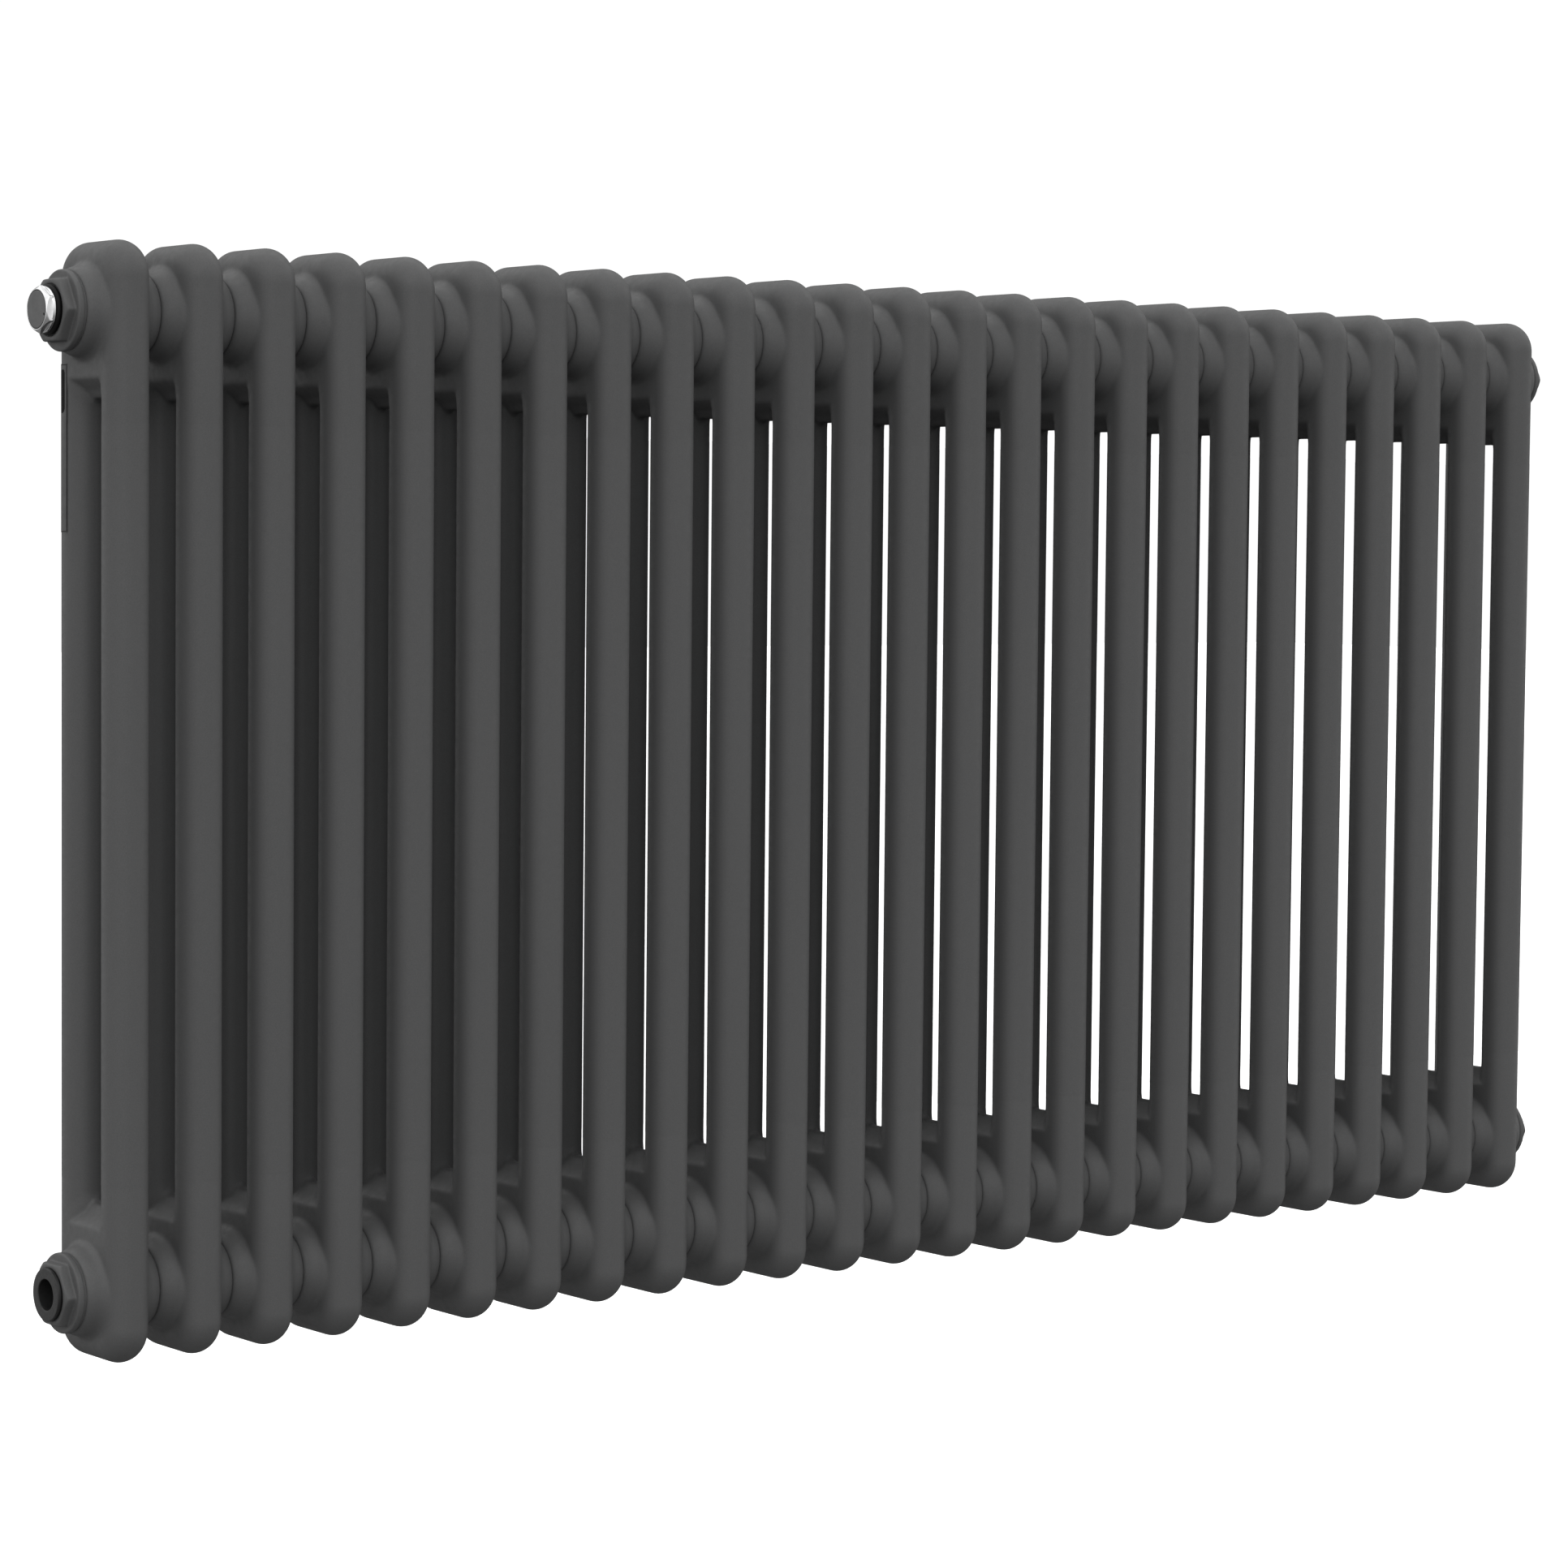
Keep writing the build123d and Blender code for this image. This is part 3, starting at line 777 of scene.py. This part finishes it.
def label_mesh():
    """The blank label: a thin film over the rear tube, with a border line and a plain panel."""
    low, high = node_box("blank_label")
    height = high[2] - low[2]
    axis_x = first_low[0] + PITCH / 2
    outer = TUBE_R + LABEL_GAP + LABEL_THICKNESS
    bend = outer * (math.pi - LABEL_START_ANGLE)
    width = bend + LABEL_TAIL
    panel_across = (PANEL_ACROSS[0], width - PANEL_ACROSS[1])
    panel_up = (height - PANEL_UP[0], height - PANEL_UP[1])
    line_start, line_end = LABEL_BORDER
    across = grid_marks(
        [0, bend, width - line_end, width - line_start, width],
        [(0, line_end), (line_end, bend), (bend, width - line_end)],
        LABEL_GRID,
    )
    panel_ends = [(end - 2, end + 2) for end in panel_up]
    up = grid_marks(
        [0, line_start, line_end, height - line_end, height - line_start, height],
        panel_ends,
        LABEL_GRID,
    )
    made = bmesh.new()
    sheets = []
    for radius in (outer, TUBE_R + LABEL_GAP):
        sheets.append([])
        for level in up:
            row = []
            for length in across:
                angle = LABEL_START_ANGLE + min(length, bend) / outer
                x = axis_x + radius * math.cos(angle)
                y = COLUMN_Y + radius * math.sin(angle) - max(length - bend, 0)
                row.append(made.verts.new((x * MM, y * MM, (low[2] + level) * MM)))
            sheets[-1].append(row)
    front, back = sheets
    panel_size = [(end - start) / 2 for start, end in (panel_across, panel_up)]
    for j in range(len(up) - 1):
        for i in range(len(across) - 1):
            a, b = (across[i] + across[i + 1]) / 2, (up[j] + up[j + 1]) / 2
            rim = min(a, width - a, b, height - b)
            panel = rounded_box_2d(
                a - sum(panel_across) / 2, b - sum(panel_up) / 2, *panel_size, PANEL_CORNER
            )
            # Faces in the dark film: the printed panel, and a dark line near the rim.
            dark_face = panel < 0 or line_start < rim < line_end
            for rows in sheets:
                corners = [rows[j][i], rows[j][i + 1], rows[j + 1][i + 1], rows[j + 1][i]]
                made.faces.new(corners).material_index = int(dark_face)
    last, top = len(across) - 1, len(up) - 1
    loop = [(0, i) for i in range(last)] + [(j, last) for j in range(top)]
    loop += [(top, i) for i in range(last, 0, -1)] + [(j, 0) for j in range(top, 0, -1)]
    for (j, i), (m, n) in zip(loop, loop[1:] + loop[:1]):
        made.faces.new([front[j][i], front[m][n], back[m][n], back[j][i]])
    bmesh.ops.recalc_face_normals(made, faces=made.faces)
    mesh = bpy.data.meshes.new("blank_label")
    made.to_mesh(mesh)
    made.free()
    mesh.materials.append(film)
    mesh.materials.append(dark_film)
    mesh.shade_smooth()
    mesh.set_sharp_from_angle(angle=math.radians(40))
    return mesh


as_piece("film_blank_label", label_mesh(), "radiator", ["blank_label"])


# ---- Studio ---------------------------------------------------------------------------------
FAR_SIDE = (0.617, 0.787, 0)       # level direction away from the camera
BACKDROP = 1.05                    # just over white


def plain_plane(name, half, height):
    """A flat square floor."""
    mesh = bpy.data.meshes.new(name)
    corners = ((-half, -half), (half, -half), (half, half), (-half, half))
    mesh.from_pydata([(x, y, height) for x, y in corners], [], [(0, 1, 2, 3)])
    made = bpy.data.objects.new(name, mesh)
    bpy.context.scene.collection.objects.link(made)
    return made


def soft_sun(name, towards, spread, power):
    """A soft light from one direction, even over the whole object."""
    data = bpy.data.lights.new(name, "SUN")
    data.angle = spread
    data.energy = power
    made = bpy.data.objects.new(name, data)
    made.rotation_euler = Vector(towards).to_track_quat("Z", "Y").to_euler()
    bpy.context.scene.collection.objects.link(made)


def studio_world(above, level, below, behind):
    """White surround, plain to the camera.

    It lights the object with strengths that go from below through level to above, and that fall
    to the share behind on the far side.
    """
    made = bpy.data.worlds.new("studio")
    made.use_nodes = True
    nodes, links = made.node_tree.nodes, made.node_tree.links
    direction = nodes.new("ShaderNodeTexCoord").outputs["Generated"]
    height = nodes.new("ShaderNodeSeparateXYZ")
    links.new(direction, height.inputs["Vector"])
    spread = nodes.new("ShaderNodeMapRange")
    spread.inputs["From Min"].default_value = -1
    links.new(height.outputs["Z"], spread.inputs["Value"])
    ramp = nodes.new("ShaderNodeValToRGB")
    ramp.color_ramp.elements.new(0.5)
    for element, (position, value) in zip(
        ramp.color_ramp.elements, ((0.25, below), (0.5, level), (0.95, above))
    ):
        element.position = position
        element.color = (value, value, value, 1)
    links.new(spread.outputs["Result"], ramp.inputs["Fac"])
    facing = nodes.new("ShaderNodeVectorMath")
    facing.operation = "DOT_PRODUCT"
    facing.inputs[1].default_value = FAR_SIDE
    links.new(direction, facing.inputs[0])
    far = nodes.new("ShaderNodeMapRange")
    far.interpolation_type = "SMOOTHSTEP"
    far.inputs["From Min"].default_value = 0.55
    far.inputs["From Max"].default_value = 0.95
    far.inputs["To Min"].default_value = 1
    far.inputs["To Max"].default_value = behind
    links.new(facing.outputs["Value"], far.inputs["Value"])
    strength = nodes.new("ShaderNodeMath")
    strength.operation = "MULTIPLY"
    links.new(ramp.outputs["Color"], strength.inputs[0])
    links.new(far.outputs["Result"], strength.inputs[1])
    light = nodes["Background"]
    links.new(strength.outputs["Value"], light.inputs["Strength"])
    plain = nodes.new("ShaderNodeBackground")
    plain.inputs["Strength"].default_value = BACKDROP
    seen = nodes.new("ShaderNodeLightPath")
    chosen = nodes.new("ShaderNodeMixShader")
    for background in (light, plain):
        background.inputs["Color"].default_value = (1, 1, 1, 1)
    links.new(seen.outputs["Is Camera Ray"], chosen.inputs["Fac"])
    links.new(light.outputs["Background"], chosen.inputs[1])
    links.new(plain.outputs["Background"], chosen.inputs[2])
    links.new(chosen.outputs["Shader"], nodes["World Output"].inputs["Surface"])
    return made


# A far floor under the hanging radiator, which neither lights it nor mirrors in it.
floor = plain_plane("floor", half=30, height=-0.5)
floor_paint = new_material("floor_paint", (0.93, 0.93, 0.93), 0.9)
vary_colour(
    floor_paint,
    noise(floor_paint, place_socket(floor_paint, False), 0.3, 2),
    [(NOISE_LOW, (0.92, 0.92, 0.92)), (NOISE_HIGH, (0.94, 0.94, 0.94))],
)
floor.data.materials.append(floor_paint)
floor.visible_diffuse = False
floor.visible_glossy = False

bpy.context.scene.world = studio_world(above=1.9, level=1.0, below=0.3, behind=0.1)
soft_sun("key", towards=(-0.66, -0.68, 0.32), spread=math.radians(60), power=0.6)


# ---- Camera: turned about its own axes by yaw, pitch and roll -------------------------------
YAW, PITCH_ANGLE, ROLL = 0.665391, -0.056348, 0.0096856
CAMERA_AT = (-1.62597, -1.97337, 0.43942)
ahead = Vector((
    math.sin(YAW) * math.cos(PITCH_ANGLE),
    math.cos(YAW) * math.cos(PITCH_ANGLE),
    math.sin(PITCH_ANGLE),
))
right = Vector((math.cos(YAW), -math.sin(YAW), 0))
up = right.cross(ahead)
right, up = (
    right * math.cos(ROLL) + up * math.sin(ROLL),
    up * math.cos(ROLL) - right * math.sin(ROLL),
)
camera_data = bpy.data.cameras.new("camera")
camera_data.lens = 95.386
camera_data.sensor_width = 36
camera_data.clip_end = 100
camera = bpy.data.objects.new("camera", camera_data)
turned = Matrix((right, up, -ahead)).transposed().to_4x4()
camera.matrix_world = Matrix.Translation(CAMERA_AT) @ turned
bpy.context.scene.collection.objects.link(camera)
bpy.context.scene.camera = camera
bpy.context.scene.view_settings.view_transform = "Standard"
